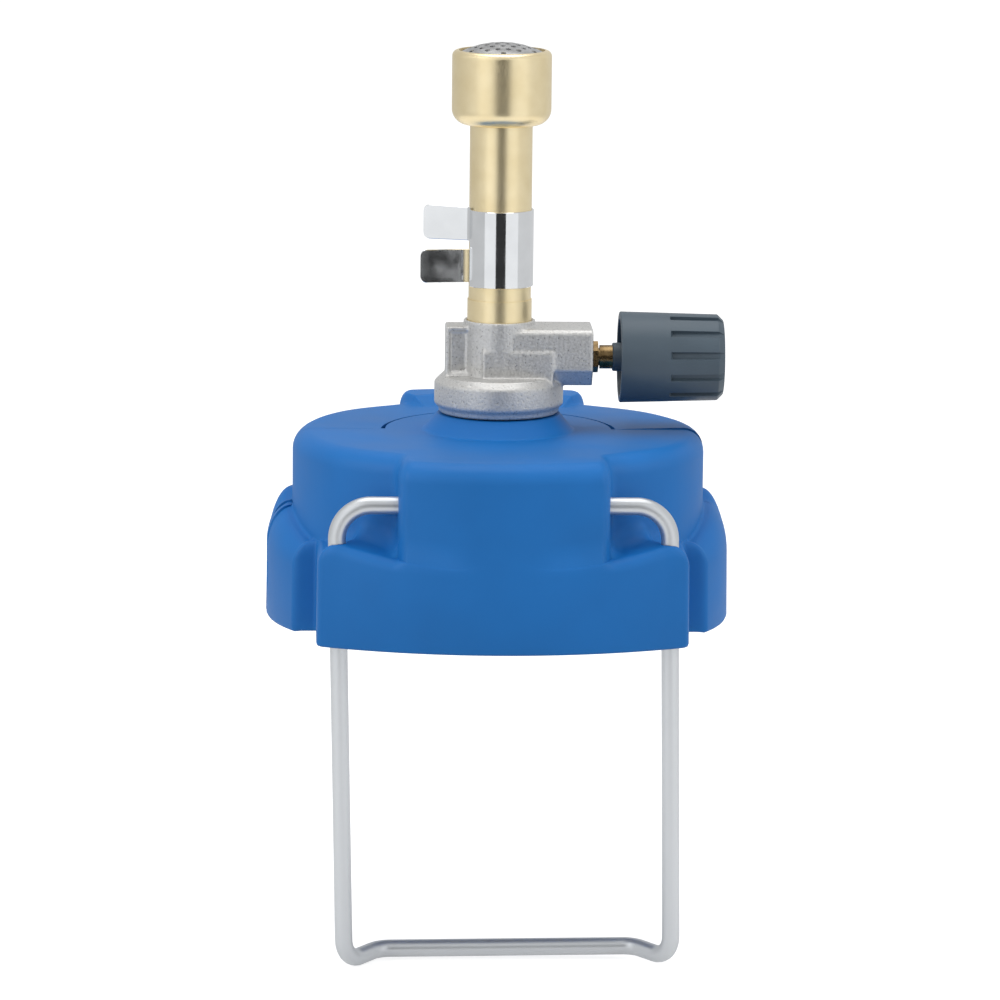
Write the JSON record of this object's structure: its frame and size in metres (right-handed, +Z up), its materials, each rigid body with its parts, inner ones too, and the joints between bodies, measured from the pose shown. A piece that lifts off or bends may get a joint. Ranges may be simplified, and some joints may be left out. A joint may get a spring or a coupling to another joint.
{
  "type": "gas cartridge bunsen burner",
  "caption": "Laboratory gas burner on a lobed cartridge cap with a wire bail, cast valve body, side control knob, brass tube, split air collar and perforated burner head.",
  "frame": {"origin": "on the burner axis, at the cap's lower rim, which is the mouth of the cartridge socket", "axes": "+Z up along the burner tube, +X along the valve spindle towards the control knob, -Y towards the bail at the front"},
  "size_m": [0.118, 0.115, 0.2282],
  "materials": {
    "shell": "moulded, fine satin grain",
    "steel": "plain steel",
    "brass": "machined brass, slightly dulled",
    "zinc_wire": "zinc-plated drawn wire",
    "casting": "tumbled zinc die casting",
    "rubber": "moulded nitrile",
    "knob": "moulded, satin",
    "chromed_sheet": "bright plated sheet",
    "grid_steel": "pressed perforated sheet"
  },
  "bodies": {
    "cap": {"front_shell": "shell", "hinge_pin": "steel", "threaded_bush": "brass", "bush_ring": "steel"},
    "rear": {"rear_shell": "shell"},
    "bail": {"bail": "zinc_wire"},
    "seal": {"cartridge_seal": "rubber", "seal_washer": "steel"},
    "head": {"valve_body": "casting", "needle_holder": "brass", "piercing_needle": "steel", "gas_filter": "steel", "gland_nut": "brass", "gland_packing": "rubber", "injector": "brass", "injector_washer": "steel", "burner_tube": "brass", "burner_head": "brass", "flame_grid": "grid_steel"},
    "spindle_seal": {"spindle_oring": "rubber"},
    "knob": {"valve_spindle": "brass", "control_knob": "knob"},
    "collar": {"air_collar": "chromed_sheet"}
  },
  "joints": [
    {"name": "rear_shell_swing", "type": "hinge", "parent": "cap", "child": "rear", "pos_m": [-0.055, 0, 0], "axis": [0, 0, 1], "range_deg": [0, 55]},
    {"name": "bail_swing", "type": "hinge", "parent": "cap", "child": "bail", "pos_m": [0, -0.0446, 0.0358], "axis": [1, 0, 0], "range_deg": [0, 6]},
    {"name": "head_lift", "type": "slide", "parent": "cap", "child": "seal", "axis": [0, 0, 1], "range_m": [0, 0.0076]},
    {"name": "head_turn", "type": "hinge", "parent": "seal", "child": "head", "pos_m": [0, 0, 0], "axis": [0, 0, 1], "range_deg": [0, 1800]},
    {"name": "spindle_travel", "type": "slide", "parent": "head", "child": "spindle_seal", "axis": [1, 0, 0], "range_m": [0, 0.0026]},
    {"name": "knob_turn", "type": "hinge", "parent": "spindle_seal", "child": "knob", "pos_m": [0, 0, 0.0661], "axis": [1, 0, 0], "range_deg": [0, 900]},
    {"name": "collar_turn", "type": "hinge", "parent": "head", "child": "collar", "pos_m": [0, 0, 0], "axis": [0, 0, 1], "continuous": true}
  ],
  "couplings": [
    {"joint": "head_lift", "follows": "head_turn", "m_per_rad": 0.00023873},
    {"joint": "spindle_travel", "follows": "knob_turn", "m_per_rad": 0.00015915}
  ]
}
